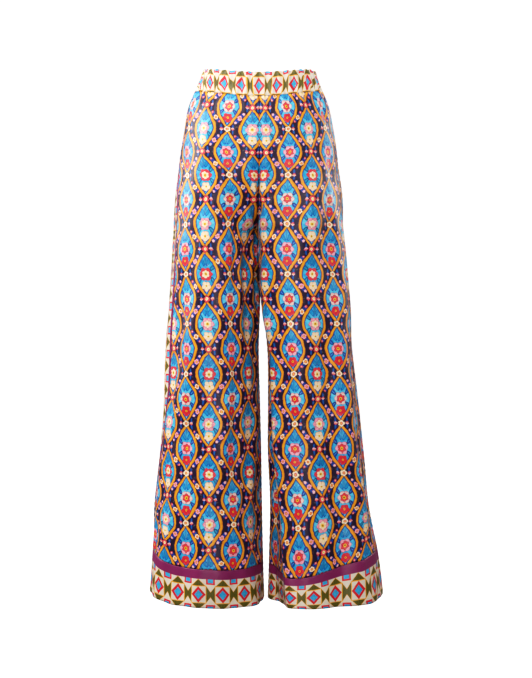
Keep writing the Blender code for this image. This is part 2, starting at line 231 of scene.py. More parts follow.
# Lifts of the hem band's seam and of the hem's edge round each leg, where the cloth
# kicks out or turns away.
HEM_COLUMNS = ("turn", "right seam", "right edge", "left seam", "left edge")
HEM_LIFTS = (
    (0.000, 0.004, 0.006, 0.0000, 0.007),
    (0.080, 0.004, 0.005, -0.0050, 0.007),
    (0.125, 0.002, 0.004, -0.0105, 0.006),
    (0.172, 0.000, 0.003, -0.0150, 0.005),
    (0.210, 0.000, 0.002, -0.0120, 0.003),
    (0.250, 0.000, 0.002, -0.0060, 0.002),
    (0.300, -0.001, 0.001, 0.0010, 0.000),
    (0.350, 0.000, 0.000, 0.0085, 0.000),
    (0.400, 0.008, 0.004, 0.0150, 0.000),
    (0.460, 0.017, 0.008, 0.0190, 0.002),
    (0.540, 0.016, 0.008, 0.0170, 0.003),
    (0.660, 0.004, 0.003, 0.0050, 0.002),
    (0.800, 0.000, 0.003, 0.0000, 0.003),
    (1.000, 0.004, 0.006, 0.0000, 0.007),
)
HEM_LIFT_FADE = 0.15

# Soft unevenness of the hanging cloth: wave lengths round and down it.
WAVE_COLUMNS = ("round", "down", "phase", "height")
WAVES = (
    (0.083, 0.61, 0.4, 0.0010),
    (0.047, 0.43, 2.1, 0.0007),
    (0.131, 0.27, 4.0, 0.0009),
    (-0.059, 0.19, 1.2, 0.0005),
    (-0.109, 0.35, 5.3, 0.0007),
    (0.029, 0.31, 3.3, 0.0004),
)
WAVE_START = BAND_FOOT - 0.02
WAVE_FADE = 0.12

# Puckers along the seams, and the dip of a seam itself.
PUCKER_LENGTH = 0.013
PUCKER_REACH = 0.007
PUCKER_HEIGHT = 0.00045
SEAM_DIP = 0.0007
SEAM_DIP_REACH = 0.0019

# Grooves in which the centre seams lie, as the cloth falls in between the legs.
GROOVE_COLUMNS = ("count", "top", "foot", "width", "depth")
GROOVES = (
    (0, -0.090, -0.310, 0.011, 0.0090),
    (24, -0.060, -0.310, 0.013, 0.0090),
)
GROOVE_FADE = 0.11
GROOVE_FOOT_FADE = 0.03
GROOVE_DEPTH_FADE = 0.035

# Waistband: the swell and fine ripple of its cloth, the ruffle of its top fold and the slip
# of its print between the gathers, and the lift of that fold at the centre and at the sides.
BAND_SWELL = 0.0013
BAND_RIPPLE = 0.0004
BAND_RUFFLE = 0.0008
BAND_SLIP = 0.0016
CENTRE_TRIM, CENTRE_TRIM_REACH = 0.0016, 0.16
SIDE_TRIM, SIDE_TRIM_REACH = -0.0042, 0.20

# Hem: the roll of its fold and the dip of its top seam, each with its reach, and a slight wave.
HEM_ROLL, HEM_ROLL_REACH = 0.0009, 0.0022
HEM_DIP_REACH = 0.002
HEM_WAVE, HEM_WAVE_FADE = 0.0005, 0.05

# Where the halves meet in the middle: the width beside the centre seams over which the cloth
# is held there, and the height below the crotch over which the hold lets go.
SEAM_HOLD = 0.006
FORK_HOLD = 0.024

# Lean of the two legs' touching inner sides: how far, over what depth and width, and
# the levels at which it starts, is full, starts to go and is gone.
LEAN = 0.0034
LEAN_DEPTH = 0.010
LEAN_WIDTH = 0.030
LEAN_LEVELS = (-0.262, -0.300, -0.400, -0.462)

# ---- Fineness of the grids
OUTLINE_POINTS = 1441
ROW_STEP = 0.0034
HEM_STEP = 0.0026
BAND_STEP = 0.0024
COLUMN_STEP = 0.0038
LEG_ROUND = 0.68
HEM_ROUND = 0.73
# Steps of the count between columns, for each kind of piece.
PANEL_COUNT_STEP = COLUMN_STEP * GATHERS / LEG_ROUND
HEM_COUNT_STEP = COLUMN_STEP * GATHERS / HEM_ROUND
STRIPE_COUNT_STEP = 1 / 6
BAND_COUNT_STEP = 1 / 12

# ---- Straight grain of the leg panels: its reach from the middle, and its lean to the hem
GRAIN_REACH = 0.110
GRAIN_LEAN = 0.012
HIP_LEVEL = -0.20
HIP_BLEND = 0.05

# ---- Sewing thread
STITCH_PITCH = 0.0031
STITCH_LENGTH = 0.0023
THREAD_RADIUS = 0.00022
# Rings of one stitch: shares of its length, its rise and its radius.
STITCH_RINGS = ((-0.50, -1.0, 0.35), (-0.28, 0.55, 1.0), (0.28, 0.55, 1.0), (0.50, -1.0, 0.35))
STRIPE_STITCH_INSET = 0.0022
BAND_STITCH_LEVEL = BAND_FOOT + 0.003
HEM_STITCH_LEVEL = HEM_LEVEL + 0.010
HEM_SEAM_STITCH_LEVEL = HEM_BAND_TOP - 0.0022

# ---- Place of the print along each leg's hem band, in metres, by side
HEM_PRINT_SHIFT = {-1: -0.009, 1: 0.019}

# ---- Print sizes, in millimetres of flat cloth. A leaf has two half sizes, and a place to the
# side and up from the middle of its frame or sprig, with the degrees by which it is turned.
FRAME_REACH = 26.6
FRAME_FULLNESS = 0.56
FRAME_PITCH = 98.0
COLUMN_PITCH = 50.0
PRINT_SHIFT = -6.0
FRAME_BAND = 4.7
PETALS = 6
ROSETTE = 13.0
BLOOM_PLACE = 24.0
BLOOM = 9.8
CORE = 8.6
FAN_LEAF, FAN_LEAF_PLACE = (7.6, 2.9), (6.2, 23.4, 64)
MIDDLE_LEAF, MIDDLE_LEAF_RISE = (3.4, 10.4), 29.0
BESIDE_LEAF, BESIDE_LEAF_PLACE = (8.4, 3.6), (15.8, 14.6, 50)
FOOT_LEAF, FOOT_LEAF_PLACE = (1.9, 4.6), (3.0, -37.0)
KNOT = 6.8
SPRIG = 5.3
SPRIG_TURN = 130
SPRIG_LEAF, SPRIG_LEAF_PLACE = (4.8, 1.6), (8.6, 2.0)
BUD = 2.9
BUD_STEP = 12.4
SIDE_BUD = 3.6
SIDE_BUD_PLACE = (COLUMN_PITCH - FRAME_REACH) / 2
SIDE_BUD_LEAF, SIDE_BUD_VEIN, SIDE_BUD_LEAF_PLACE = (2.0, 4.8), (0.6, 3.4), 6.4
BORDER_PITCH = 48.0
BORDER_MIDDLE = 28.0
BORDER_TOP = 59.0
WAIST_PRINT_RISE = 3.6
SQUARE_REACH = 15.0
SQUARE_RISE = 16.8
DIAMOND_REACH = 14.2
DIAMOND_RISE = 16.6
DIAMOND_BAND = 5.9
PINCH = 4.7
TRIANGLE_REACH = 12.8
TRIANGLE_RISE = 12.6
TAB_REACH = 8.9
TAB_RISE = 10.6
TAB_BAND = 3.3
LINE = 0.65
# The hand-painted look of the edges: how far they stray and tremble.
STRAY = 4.4
TREMBLE = 1.4
BORDER_STRAY = 1.6

# ---- Noises on the flat cloth, each with its scale, its detail and a shift of its own
TONE = (240, 2.0, 1.0)
BRUSH = (130, 3.0, 14.0)
BROAD = (75, 1.0, 5.0)
STRAY_U, STRAY_V = (60, 2.0, 3.0), (60, 2.0, 8.0)
BORDER_STRAY_U, BORDER_STRAY_V = (60, 1.0, 3.0), (60, 1.0, 8.0)
SLUB = (420, 2.0, 11.0)
CRUMPLE = (34, 3.0, 21.0)

# ---- Colours, as the eye names them (red, green, blue of a screen, 0 to 255)
INKS = {
    "aubergine": (54, 34, 56),
    "midnight": (32, 26, 74),
    "saffron": (248, 172, 46),
    "amber": (222, 122, 22),
    "rust": (128, 52, 30),
    "turquoise": (40, 161, 212),
    "sky": (104, 206, 238),
    "teal": (24, 130, 172),
    "royal": (24, 74, 172),
    "pink": (250, 180, 194),
    "rose": (222, 84, 118),
    "red": (216, 34, 52),
    "crimson": (158, 14, 40),
    "ivory": (252, 230, 194),
    "shell": (240, 218, 204),
    "peach": (252, 206, 164),
    "coral": (234, 78, 88),
    "scarlet": (226, 50, 58),
    "yellow": (250, 196, 60),
    "olive": (122, 112, 44),
    "moss": (90, 84, 32),
    "cream": (226, 218, 198),
    "plum": (144, 50, 102),
    "cream_thread": (226, 206, 164),
    "plum_thread": (88, 26, 72),
}

# ---- Finishes, as inputs of the shader
SATIN_FINISH = {
    "Roughness": 0.40,
    "Specular IOR Level": 0.42,
    "Sheen Weight": 0.04,
    "Sheen Roughness": 0.35,
}
WRONG_SIDE_FINISH = {**SATIN_FINISH, "Roughness": 0.62, "Specular IOR Level": 0.25}
WRONG_SIDE_FADING = 0.45
TWILL_PITCH = 0.9
WHITE = (1, 1, 1, 1)
FLOOR_FINISH = {
    "Base Color": (0.25, 0.25, 0.25, 1),
    "Roughness": 0.9,
    "Specular IOR Level": 0.0,
    "Emission Color": WHITE,
    "Emission Strength": 0.97,
}

# ---- Studio
FLOOR_LEVEL = -1.10
FLOOR_RADIUS = 3.0
FLOOR_BEND = 1.6
BACKDROP_HEIGHT = 5.0
CAMERA_DISTANCE = 3.0
CAMERA_LEVEL = -0.42
VIEW_HEIGHT = 1.376
VIEW_MIDDLE = (0.014, -0.523)
SENSOR = 36.0
AIR_LIGHT = 0.095
# Brightness from the lights, and as it is shown.
SHOWN_TONES = (
    (0.0273, 0.0144),
    (0.1009, 0.0808),
    (0.2140, 0.2140),
    (0.4198, 0.4996),
    (0.6938, 0.7874),
)
# Each square soft light: its name, its place, its aim, its side and its power in watts.
LIGHTS = (
    ("key_softbox", (-0.5, -1.3, 1.0), (0, 0, -0.15), 0.6, 17.7),
    ("fill_softbox", (0.9, -1.5, 1.1), (0.03, 0, -0.12), 0.9, 6),
    ("front_softbox", (-0.3, -3.2, 0.0), (0, 0, -0.35), 0.8, 19),
    ("low_softbox", (-0.2, -2.0, -1.0), (-0.1, 0, -1.0), 0.9, 5.6),
    ("right_softbox", (-2.6, -0.1, 0.6), (0, 0, -0.35), 1.2, 48),
    ("left_softbox", (2.6, -0.9, 0.3), (0, 0, -0.4), 1.2, 8.5),
    ("back_key_softbox", (0.6, 1.5, 1.0), (0, 0, -0.20), 0.7, 20),
    ("back_front_softbox", (0.2, 3.2, 0.0), (0, 0, -0.4), 1.2, 11),
    ("back_right_softbox", (-2.4, 1.3, 0.4), (0, 0, -0.4), 1.3, 16),
    ("back_left_softbox", (2.4, 1.3, 0.4), (0, 0, -0.4), 1.3, 28),
)


def rows_of(table, names, side=None):
    """The rows of a table as named values, of one side where the table tells them apart."""
    rows = (dict(zip(names, row)) for row in table)
    return [row for row in rows if side is None or row["side"] == side]


def column(table, names, name):
    """One named column of a table, as an array."""
    return np.array([row[names.index(name)] for row in table], float)


def read_smooth(at, levels, values):
    """A smooth curve through the values (Hermite pieces), which are in falling order of level."""
    x, y = -levels, values
    slopes = np.gradient(y, x)
    at = np.clip(-np.asarray(at, float), x[0], x[-1])
    i = np.clip(np.searchsorted(x, at, side="right") - 1, 0, len(x) - 2)
    width = x[i + 1] - x[i]
    t = (at - x[i]) / width
    start = (1 + 2 * t) * (1 - t) ** 2 * y[i] + t * (1 - t) ** 2 * width * slopes[i]
    end = t * t * (3 - 2 * t) * y[i + 1] + t * t * (t - 1) * width * slopes[i + 1]
    return start + end


def size_at(level, table, names, name):
    """A named size from a table whose rows go down the garment, at any level."""
    return read_smooth(level, column(table, names, "level"), column(table, names, name))


def body(level, name):
    """A size of the body, at any level."""
    return size_at(level, BODY_SECTIONS, BODY_COLUMNS, name)


def leg(level, name):
    """A size of the legs, at any level."""
    return size_at(level, LEG_SECTIONS, LEG_COLUMNS, name)


def word(side):
    """The name of a side."""
    return "right" if side < 0 else "left"


def ramp(x):
    """0 below 0, 1 above 1, and a smooth rise between."""
    t = np.clip(x, 0, 1)
    return t * t * (3 - 2 * t)


def hump(distance, reach):
    """A bell curve, 1 at distance 0 and fading out over the reach."""
    return np.exp(-((distance / reach) ** 2))


def off_seams(turn, fade):
    """0 at both centre seams, 1 from a share of the way round beside them, smooth between."""
    return ramp(turn / fade) * ramp((1 - turn) / fade)


def running(steps):
    """The length so far along each row: 0, then the sum of the steps."""
    return np.concatenate([np.zeros(steps.shape[:-1] + (1,)), np.cumsum(steps, axis=-1)], axis=-1)


def unit(vectors):
    """Each vector divided by its own length."""
    return vectors / np.linalg.norm(vectors, axis=-1, keepdims=True)


def union_of_legs(level, share):
    """0 where the legs are apart, 1 where they are one body: the fork's curve at the
    middle (share 0), and a slower change towards the outside (share 1)."""
    height = np.clip((level - CROTCH_LEVEL) / FORK_HEIGHT, 0, 1)
    at_middle = (1 - (1 - height) ** FORK_CURVE) ** FORK_ROUNDNESS
    return ramp(height) + (at_middle - ramp(height)) * (1 - ramp(share / FORK_REACH))


def outline(side, levels):
    """Sections of half the garment without folds, one row of points for each level.

    An angle runs from the centre front or the inseam, over the front and the
    outside, to the back. The reach follows a circle through both seams, and
    the depth goes from a circle's to the body's flatter curve as the legs join.
    """
    level = levels[:, None]
    angle = np.linspace(0, 2 * np.pi, OUTLINE_POINTS)[None, :]
    ahead = angle < np.pi
    outside = np.where(level > CROTCH_LEVEL, body(level, word(side)), leg(level, word(side)))
    gap = leg(level, "gap")
    reach = (outside + gap) / 2 - (outside - gap) / 2 * np.cos(angle)
    leg_depth = np.where(ahead, -leg(level, "front"), leg(level, "back")) * np.abs(np.sin(angle))
    body_depth = np.where(ahead, -body(level, "front"), body(level, "back"))
    share = np.clip((reach - gap) / (outside - gap), 0, 1)
    joined = union_of_legs(level, share)
    body_depth = body_depth * (1 - share**BODY_SQUARENESS) ** (1 / BODY_SQUARENESS)
    return reach, (1 - joined) * leg_depth + joined * body_depth


def measured(reach, depth):
    """The share of the way round at each outline point, and the whole length of each row."""
    run = running(np.hypot(np.diff(reach, axis=1), np.diff(depth, axis=1)))
    return run / run[:, -1:], run[:, -1]


def stripe_turns(side, levels, around):
    """Turns at which the side stripe's front and back edges lie, for each level."""
    full = measured(*outline(side, np.array([-0.2])))[1][0]
    drawn_in = 1 - STRIPE_EASE * np.clip(1 - around / full, 0, 1)
    middle = 0.5 + size_at(levels, STRIPE_SHIFTS, STRIPE_COLUMNS, word(side)) / around
    half = SIDE_STRIPE / 2 * drawn_in / around
    return middle - half, middle + half


def turn_of(count, front, back):
    """The share of the way round at which a gather's count lies, between the stripe's edges."""
    ahead = front * count / STRIPE_FRONT
    beside = front + (back - front) * (count - STRIPE_FRONT) / (STRIPE_BACK - STRIPE_FRONT)
    behind = back + (1 - back) * (count - STRIPE_BACK) / (GATHERS - STRIPE_BACK)
    turn = np.where(count < STRIPE_FRONT, ahead, np.where(count > STRIPE_BACK, behind, beside))
    return np.clip(turn, 0, 1)


def gathers(side, count, level):
    """Height of the gathers: one wave to a count, uneven in depth and length, with finer
    waves between them near the band, and shallower on the band itself."""
    uneven = 1 + 0.30 * np.sin(1.7 * count + side) + 0.20 * np.sin(0.9 * count - 2 * side)
    length = GATHER_FADE * (1 + 0.45 * np.sin(2.3 * count + 1.3 * side))
    below = 1 - ramp((BAND_FOOT - level) / length)
    on_band = 1 - BAND_GATHER_LOSS * ramp((level - BAND_FOOT) / (BAND_HEIGHT / 2))
    main = (1 - np.cos(2 * np.pi * count)) / 2
    fine = FINE_GATHER_SHARE * (1 - ramp(np.abs(level - BAND_FOOT) / FINE_GATHER_REACH))
    fine = fine * np.sin(2 * np.pi * (2.0 * count + 0.3 * np.sin(1.1 * count)))
    return GATHER_DEPTH * below * (uneven * on_band * main + fine)


def folds(side, turn, level, around):
    """The sum of the large folds: each a soft crest or trough with its own two widths."""
    total = np.zeros(np.shape(turn))
    for fold in rows_of(FOLDS, FOLD_COLUMNS, side):
        along = np.clip((fold["top"] - level) / (fold["top"] - fold["foot"]), 0, 1)
        crest = fold["from_turn"] + (fold["to_turn"] - fold["from_turn"]) * along
        away = (turn - crest) * around
        width = np.where(away < 0, fold["inner"], fold["outer"])
        fade = ramp((fold["top"] - level) / FOLD_FADE) * ramp((level - fold["foot"]) / FOLD_FADE)
        total += fold["depth"] * fade * hump(away, width)
    return total * off_seams(turn, SEAM_FADE)


def creases(side, turn, level, around):
    """The sum of the creases: each a soft trough or ridge along a slightly bowed line from
    end to end, that fades out past its ends and with the distance from its line."""
    total = np.zeros(np.shape(turn))
    for crease in rows_of(CREASES, CREASE_COLUMNS, side):
        run = (crease["turn_b"] - crease["turn_a"]) * around
        fall = crease["level_b"] - crease["level_a"]
        across, down = (turn - crease["turn_a"]) * around, level - crease["level_a"]
        length = np.hypot(run, fall)
        along = (across * run + down * fall) / length**2
        off = (across * fall - down * run) / length
        bow = CREASE_BOW * np.sin(np.pi * np.clip(along, 0, 1))
        inside = ramp((along + CREASE_RUN_OUT) / CREASE_END_FADE)
        inside = inside * ramp((1 + CREASE_RUN_OUT - along) / CREASE_END_FADE)
        total += crease["depth"] * inside * hump(off - bow, crease["width"])
    return total


def ridge(turn, level, around):
    """Height of the left leg's ridge: a crest that follows its table down the leg, with
    its own width to either side."""
    crest, height, inner, outer = (
        size_at(level, RIDGE, RIDGE_COLUMNS, name) for name in RIDGE_COLUMNS[1:]
    )
    away = (turn - crest) * around
    return height * hump(away, np.where(away < 0, inner, outer))


def waves(side, turn, level, around):
    """Soft unevenness: a sum of long waves round and down the cloth, calm near the waist."""
    total = np.zeros(np.shape(turn))
    place = (turn - 0.5) * around
    for wave in rows_of(WAVES, WAVE_COLUMNS):
        angle = 2 * np.pi * (place / wave["round"] + level / wave["down"])
        total += wave["height"] * np.sin(angle + wave["phase"] + 1.9 * side)
    return total * ramp((WAVE_START - level) / WAVE_FADE)


def pucker(distance, level):
    """Short ripples along a seam, and the dip of the seam itself."""
    ripple = np.sin(2 * np.pi * level / PUCKER_LENGTH + 2.0 * np.sin(level * 31))
    dip = SEAM_DIP * hump(distance, SEAM_DIP_REACH)
    return PUCKER_HEIGHT * ripple * hump(distance, PUCKER_REACH) - dip


def grooves(turn, level, around, depth):
    """Shift in depth, towards the inside, of the cloth at the centre seams' grooves, which
    run out where the fork comes close to the middle."""
    total = np.zeros(np.shape(turn))
    for groove in rows_of(GROOVES, GROOVE_COLUMNS):
        away = np.abs(turn - groove["count"] / GATHERS) * around
        fade = ramp((groove["top"] - level) / GROOVE_FADE)
        fade = fade * ramp((level - groove["foot"]) / GROOVE_FOOT_FADE)
        inwards = 1 if groove["count"] == 0 else -1
        total += inwards * groove["depth"] * fade * hump(away, groove["width"])
    return total * ramp(np.abs(depth) / GROOVE_DEPTH_FADE)


def inner_lean(x, y, level):
    """Shift to the side of both legs' inner sides where they touch: one way in front and
    the other way behind, so that no straight slit is left between them."""
    top, full, end, gone = LEAN_LEVELS
    here = ramp((top - level) / (top - full)) * ramp((level - gone) / (end - gone))
    return LEAN * here * np.tanh(y / LEAN_DEPTH) * hump(x, LEAN_WIDTH)


def edge_slopes(side, turn, reach, level):
    """Lift of a point by the waist's tip towards the front and the hem's tilt to the outside."""
    tip = FRONT_DIP * (1 - ramp(-level / TIP_FADE)) * np.cos(np.pi * np.clip(turn, 0, 0.5)) ** 2
    middle = (leg(level, word(side)) + leg(level, "gap")) / 2
    low = ramp((HEM_LEVEL + TILT_FADE - level) / TILT_FADE)
    return HEM_TILT * low * (reach - middle) - tip


def hem_lift(side, turn, level):
    """Lift of the cloth near the hem: the edge's at the foot, the seam's at the top of the
    hem band, even between them, and fading out above the seam."""
    turns = column(HEM_LIFTS, HEM_COLUMNS, "turn")
    seam, edge = (
        read_smooth(-turn, -turns, column(HEM_LIFTS, HEM_COLUMNS, f"{word(side)} {name}"))
        for name in ("seam", "edge")
    )
    share = np.clip((level - HEM_LEVEL) / HEM_BAND, 0, 1)
    fade = 1 - ramp((level - HEM_BAND_TOP) / HEM_LIFT_FADE)
    return edge * (1 - share) + seam * share * fade


def read_rows(turn, share, values):
    """Each row's values at that row's turns."""
    return np.stack([np.interp(t, s, v) for t, s, v in zip(turn, share, values)])


def lay_cloth(side, counts, levels, seams=(), extra=0.0, fine=1.0):
    """A grid of the cloth's outer face: a row for each level, a point for each count.

    Each point is on the plain outline at its turn, moved outwards by the sum of the
    gathers, the folds, what is extra, the creases, the waves, the ridge and the puckers
    at the seams' counts. A fineness of 0 leaves out the finer form. Returns the points,
    their turns and the flat length along each row.
    """
    reach, depth = outline(side, levels)
    share, around = measured(reach, depth)
    front, back = stripe_turns(side, levels, around)
    level, length = levels[:, None], around[:, None]
    count = np.broadcast_to(counts, (len(levels), len(counts)))
    turn = turn_of(count, front[:, None], back[:, None])
    along_x, along_y = np.gradient(reach, axis=1), np.gradient(depth, axis=1)
    size = np.hypot(along_x, along_y)
    x, y, out_x, out_y = (
        read_rows(turn, share, rows) for rows in (reach, depth, along_y / size, -along_x / size)
    )
    out = folds(side, turn, level, length) + gathers(side, count, level) + extra
    creased = off_seams(turn, CREASE_FADE)
    out = out + fine * creases(side, turn, level, length) * creased
    out = out + fine * waves(side, turn, level, length) * off_seams(turn, SEAM_FADE)
    if side > 0:
        out = out + fine * ridge(turn, level, length) * creased
    for seam in seams:
        at = turn_of(np.full((len(levels), 1), float(seam)), front[:, None], back[:, None])
        out = out + pucker((turn - at) * length, level)
    held = 1 - ramp(np.minimum(turn, 1 - turn) * length / SEAM_HOLD)
    held = held * ramp((level - CROTCH_LEVEL + FORK_HOLD) / FORK_HOLD)
    x = np.maximum(x - held * leg(level, "gap") + out * out_x * (1 - held), 0)
    y = y + out * out_y + fine * grooves(turn, level, length, y)
    height = level + edge_slopes(side, turn, x, level) + fine * hem_lift(side, turn, level)
    across = side * x + leg(level, "sway") + inner_lean(x, y, level)
    points = np.stack([across, y, height], axis=-1)
    return points, turn, running(np.linalg.norm(np.diff(points, axis=1), axis=2))


def grain_share(side, levels, turn, run, behind):
    """The share of each row at the straight grain of a leg panel: a line down the leg at a
    set reach, which above the hips keeps its share of the way across the panel."""
    reach, depth = outline(side, levels)
    share, _ = measured(reach, depth)
    half = OUTLINE_POINTS // 2
    part = slice(half, None) if behind else slice(0, half + 1)
    wanted = GRAIN_REACH + GRAIN_LEAN * ramp((CROTCH_LEVEL - levels) / -HEM_LEVEL)
    hips = int(np.argmin(np.abs(levels - HIP_LEVEL)))
    found = []
    for row in np.maximum(np.arange(len(levels)), hips):
        x, s = reach[row, part], share[row, part]
        order = slice(None, None, -1) if behind else slice(None)
        at = np.interp(wanted[row], x[order], s[order])
        found.append(np.interp(at, turn[row], run[row]) / run[row, -1])
    return np.array(found)[:, None]


def grid_faces(rows, columns, flip):
    """Four-sided faces between neighbouring points of a grid, facing out for the left side."""
    numbers = np.arange(rows * columns).reshape(rows, columns)
    a, b = numbers[:-1, :-1], numbers[1:, :-1]
    c, d = numbers[1:, 1:], numbers[:-1, 1:]
    faces = np.stack([a, b, c, d], axis=-1).reshape(-1, 4)
    return faces[:, ::-1] if flip else faces


def add_mesh(name, points, faces):
    """A mesh object from arrays of points and of faces with equally many corners."""
    mesh = bpy.data.meshes.new(name)
    corners = faces.shape[1]
    mesh.vertices.add(len(points))
    mesh.vertices.foreach_set("co", points.astype(np.float32).ravel())
    mesh.loops.add(faces.size)
    mesh.loops.foreach_set("vertex_index", faces.astype(np.int32).ravel())
    mesh.polygons.add(len(faces))
    mesh.polygons.foreach_set("loop_start", np.arange(0, faces.size, corners, dtype=np.int32))
    mesh.polygons.foreach_set("use_smooth", np.ones(len(faces), bool))
    mesh.update(calc_edges=True)
    mesh.validate()
    piece = bpy.data.objects.new(name, mesh)
    bpy.context.scene.collection.objects.link(piece)
    return piece


def add_cloth(name, node, points, flat, flip, thickness, cloth):
    """A thin shell on a grid, with its flat place (u, v in metres) as a UV map, in the place
    of a solid. The wall is thickened inwards, with the cloth's wrong side inside."""
    rows, columns = points.shape[:2]
    faces = grid_faces(rows, columns, flip)
    piece = add_mesh(name, points.reshape(-1, 3), faces)
    layer = piece.data.uv_layers.new(name="flat_cloth")
    layer.data.foreach_set("uv", flat.reshape(-1, 2)[faces.ravel()].astype(np.float32).ravel())
    for material in cloth:
        piece.data.materials.append(material)
    wall = piece.modifiers.new("wall", "SOLIDIFY")
    wall.thickness = thickness
    wall.offset = -1
    wall.material_offset = 1
    wall.material_offset_rim = 0
    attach(piece, "root")
    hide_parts(node)
    return piece


def steps_between(first, last, step, dense=0.0):
    """Even steps from first to last; dense draws them together towards both ends."""
    t = np.linspace(0, 1, max(2, int(round(abs(last - first) / step)) + 1))
    t = t - dense * np.sin(2 * np.pi * t) / (2 * np.pi)
    return first + (last - first) * t


# ---- Shader arithmetic: formulas that become Math nodes


class Field:
    """A number that changes over the cloth: a node's output that adds up like a number."""

    def __init__(self, tree, socket):
        self.tree = tree
        self.socket = socket

    def math(self, operation, *others, clamp=False):
        """This field and the others through one Math node."""
        node = self.tree.nodes.new("ShaderNodeMath")
        node.operation = operation
        node.use_clamp = clamp
        for slot, value in zip(node.inputs, (self,) + others):
            plug(self.tree, value, slot)
        return Field(self.tree, node.outputs[0])

    def __add__(self, other):
        return self.math("ADD", other)

    def __sub__(self, other):
        return self.math("SUBTRACT", other)

    def __rsub__(self, other):
        return self.math("MULTIPLY_ADD", -1.0, other)

    def __mul__(self, other):
        return self.math("MULTIPLY", other)

    def __truediv__(self, other):
        return self.math("DIVIDE", other)

    def __abs__(self):
        return self.math("ABSOLUTE")

    def least(self, other):
        return self.math("MINIMUM", other)

    def most(self, other):
        return self.math("MAXIMUM", other)

    def cos(self):
        return self.math("COSINE")

    def sin(self):
        return self.math("SINE")

    def repeat(self, period):
        """The same number from minus half a period to plus half of it, over and over."""
        return self.math("WRAP", period / 2, -period / 2)

    def below(self, edge, soft=0.5):
        """1 well below the edge, 0 well above it, in millimetres of softness."""
        return (self * (-1 / soft)).math("ADD", 0.5 + edge / soft, clamp=True)

    def near(self, edge, reach, soft=0.5):
        """1 within reach of the edge, 0 away from it."""
        return abs(self - edge).below(reach, soft)


def plug(tree, value, slot):
    """Links a field, or sets a number, on a node's input."""
    if isinstance(value, Field):
        tree.links.new(value.socket, slot)
    else:
        slot.default_value = value


def length_of(x, y):
    """Distance from the origin: the root of x squared plus y squared."""
    return (x * x + y * y).math("SQRT")


def turned(x, y, degrees):
    """The same point on axes turned by an angle."""
    c, s = float(np.cos(np.radians(degrees))), float(np.sin(np.radians(degrees)))
    return x * c + y * s, y * c - x * s


def petal_ring(x, y, radius, petals, depth=0.2, twist=0.0):
    """Signed distance to a flower of round petals: its radius follows the absolute cosine of
    half the petals' number times the angle, and the distance is 0 on its outline."""
    angle = y.math("ARCTAN2", x)
    lobes = abs((angle * (petals / 2) + twist).cos())
    return length_of(x, y) - (lobes * (2 * radius * depth) + radius * (1 - 2 * depth))


def leaf(x, y, length, width):
    """Signed distance, roughly, to a lens of a given half length and half width."""
    return (length_of(x * (1 / length), y * (1 / width)) - 1) * width


def linear(ink):
    """A named colour in the shader's linear units."""
    values = np.array(INKS[ink]) / 255
    return tuple(np.where(values <= 0.04045, values / 12.92, ((values + 0.055) / 1.055) ** 2.4))


class Painting:
    """Colours laid over each other on one material, each through a mask from 0 to 1."""

    def __init__(self, tree, ground):
        self.tree = tree
        self.socket = None
        self.flat = linear(ground) + (1.0,)

    def over(self, ink, mask):
        """Lays an ink, or another painting's colour, over what is there."""
        node = self.tree.nodes.new("ShaderNodeMix")
        node.data_type = "RGBA"
        node.clamp_factor = True
        factor, a, b = node.inputs["Factor"], node.inputs[6], node.inputs[7]
        plug(self.tree, mask, factor)
        if self.socket is None:
            a.default_value = self.flat
        else:
            self.tree.links.new(self.socket, a)
        if isinstance(ink, Painting):
            self.tree.links.new(ink.socket, b)
        else:
            b.default_value = linear(ink) + (1.0,)
        self.socket = node.outputs[2]
        return self

    def blend(self, ink_a, ink_b, share, mask):
        """Lays a mix of two inks over what is there."""
        return self.over(Painting(self.tree, ink_a).over(ink_b, share), mask)


def set_inputs(node, values):
    """Sets a node's inputs, each by its name."""
    for name, value in values.items():
        node.inputs[name].default_value = value


def flat_map(tree):
    """The cloth's own flat place in metres, as a vector."""
    place = tree.nodes.new("ShaderNodeUVMap")
    place.uv_map = "flat_cloth"
    return place.outputs["UV"]


def flat_place(tree):
    """The cloth's own flat place in millimetres, as two fields."""
    split = tree.nodes.new("ShaderNodeSeparateXYZ")
    tree.links.new(flat_map(tree), split.inputs[0])
    return (Field(tree, split.outputs[i]) * 1000.0 for i in (0, 1))


def noise(tree, scale, detail, place):
    """Smooth noise from 0 to 1 in the cloth's flat place. Its spots are 1/scale metres across."""
    shift = tree.nodes.new("ShaderNodeMapping")
    shift.inputs["Location"].default_value = (place, 0.37 * place, place)
    tree.links.new(flat_map(tree), shift.inputs["Vector"])
    node = tree.nodes.new("ShaderNodeTexNoise")
    node.noise_dimensions = "2D"
    set_inputs(node, {"Scale": scale, "Detail": detail})
    tree.links.new(shift.outputs[0], node.inputs["Vector"])
    return Field(tree, node.outputs[0])


def ogee_distance(x, y):
    """Signed distance to a pointed frame: its half width follows a cosine of the height,
    raised to a power so that it is full in the middle and drawn out at its two points."""
    angle = y * (2 * np.pi / FRAME_PITCH)
    width = (angle.cos() * 0.5 + 0.5).math("POWER", FRAME_FULLNESS) * FRAME_REACH
    slope = angle.sin() * (FRAME_REACH * np.pi / FRAME_PITCH)
    return (abs(x) - width) / (slope * slope + 1.0).math("SQRT")


def parity(field, period):
    """0 and 1 by turns, over each period of a field."""
    return (field / period).math("FLOOR").math("WRAP", 2.0, 0.0)


